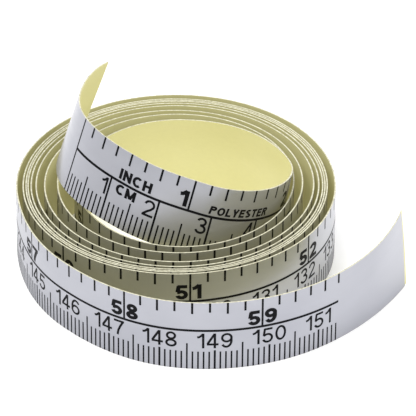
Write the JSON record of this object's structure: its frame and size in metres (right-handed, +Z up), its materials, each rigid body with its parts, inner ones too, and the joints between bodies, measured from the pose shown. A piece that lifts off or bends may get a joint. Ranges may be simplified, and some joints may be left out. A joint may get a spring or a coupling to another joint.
{
  "type": "self-adhesive tape measure",
  "caption": "Self-adhesive polyester measuring tape standing on edge in a loose coil, inner end raised and outer end sprung away, with inch and centimetre scales.",
  "frame": {"origin": "middle of the model's box, on the surface that the tape's lower edge stands on", "axes": "+Z up along the width of the standing tape; +X towards the right, where the outer end points; -Y is the front, where the outer tail shows its printed face"},
  "size_m": [0.072, 0.0672, 0.0309],
  "materials": {
    "face_film": "satin silver-white polyester film with black printed graduations on its outer face",
    "adhesive": "clear pressure-sensitive adhesive",
    "release_liner": "pale yellow silicone-coated release paper, satin"
  },
  "bodies": {
    "coil": {"face_film_coil": "face_film", "adhesive_coil": "adhesive", "release_liner_coil": "release_liner"},
    "tail_near": {"face_film_tail_near": "face_film", "adhesive_tail_near": "adhesive", "release_liner_tail_near": "release_liner"},
    "tail_middle": {"face_film_tail_middle": "face_film", "adhesive_tail_middle": "adhesive", "release_liner_tail_middle": "release_liner"},
    "tail_end": {"face_film_tail_end": "face_film", "adhesive_tail_end": "adhesive", "release_liner_tail_end": "release_liner"},
    "inner_loop": {"face_film_inner_loop": "face_film", "adhesive_inner_loop": "adhesive", "release_liner_inner_loop": "release_liner"},
    "leader_near": {"face_film_leader_near": "face_film", "adhesive_leader_near": "adhesive", "release_liner_leader_near": "release_liner"},
    "leader_end": {"face_film_leader_end": "face_film", "adhesive_leader_end": "adhesive", "release_liner_leader_end": "release_liner"},
    "liner_tab": {"release_liner_tab": "release_liner"}
  },
  "joints": [
    {"name": "tail_unroll_near", "type": "hinge", "parent": "coil", "child": "tail_near", "pos_m": [-0.02874, -0.01857, 0.00725], "axis": [0, 0, 1], "range_deg": [-22, 2], "stiffness_Nm_per_rad": 0.004},
    {"name": "tail_unroll_middle", "type": "hinge", "parent": "tail_near", "child": "tail_middle", "pos_m": [-0.00779, -0.03287, 0.00725], "axis": [0, 0, 1], "range_deg": [-22, 2]},
    {"name": "tail_unroll_end", "type": "hinge", "parent": "tail_middle", "child": "tail_end", "pos_m": [0.01785, -0.02796, 0.00725], "axis": [0, 0, 1], "range_deg": [-22, 2]},
    {"name": "liner_peel", "type": "hinge", "parent": "tail_end", "child": "liner_tab", "pos_m": [0.0319, -0.01279, 0.00723], "axis": [-0.0672, 0.0335, 0.9972], "range_deg": [0, 55], "stiffness_Nm_per_rad": 0.0004},
    {"name": "inner_loop_lift", "type": "hinge", "parent": "coil", "child": "inner_loop", "pos_m": [-0.00571, 0.02505, 0.0145], "axis": [1, -0.0067, 0.0002], "range_deg": [-15, 0], "stiffness_Nm_per_rad": 0.02},
    {"name": "leader_uncurl_near", "type": "hinge", "parent": "inner_loop", "child": "leader_near", "pos_m": [-0.01143, -0.01179, 0.02099], "axis": [0.2563, 0.1729, 0.951], "range_deg": [-3, 22], "stiffness_Nm_per_rad": 0.004},
    {"name": "leader_uncurl_end", "type": "hinge", "parent": "leader_near", "child": "leader_end", "pos_m": [-0.0256, 0.00127, 0.02405], "axis": [0.28, 0.1888, 0.9413], "range_deg": [-3, 22]}
  ],
  "couplings": [
    {"joint": "tail_unroll_middle", "follows": "tail_unroll_near", "ratio": 1},
    {"joint": "tail_unroll_end", "follows": "tail_unroll_near", "ratio": 1},
    {"joint": "leader_uncurl_end", "follows": "leader_uncurl_near", "ratio": 1}
  ]
}
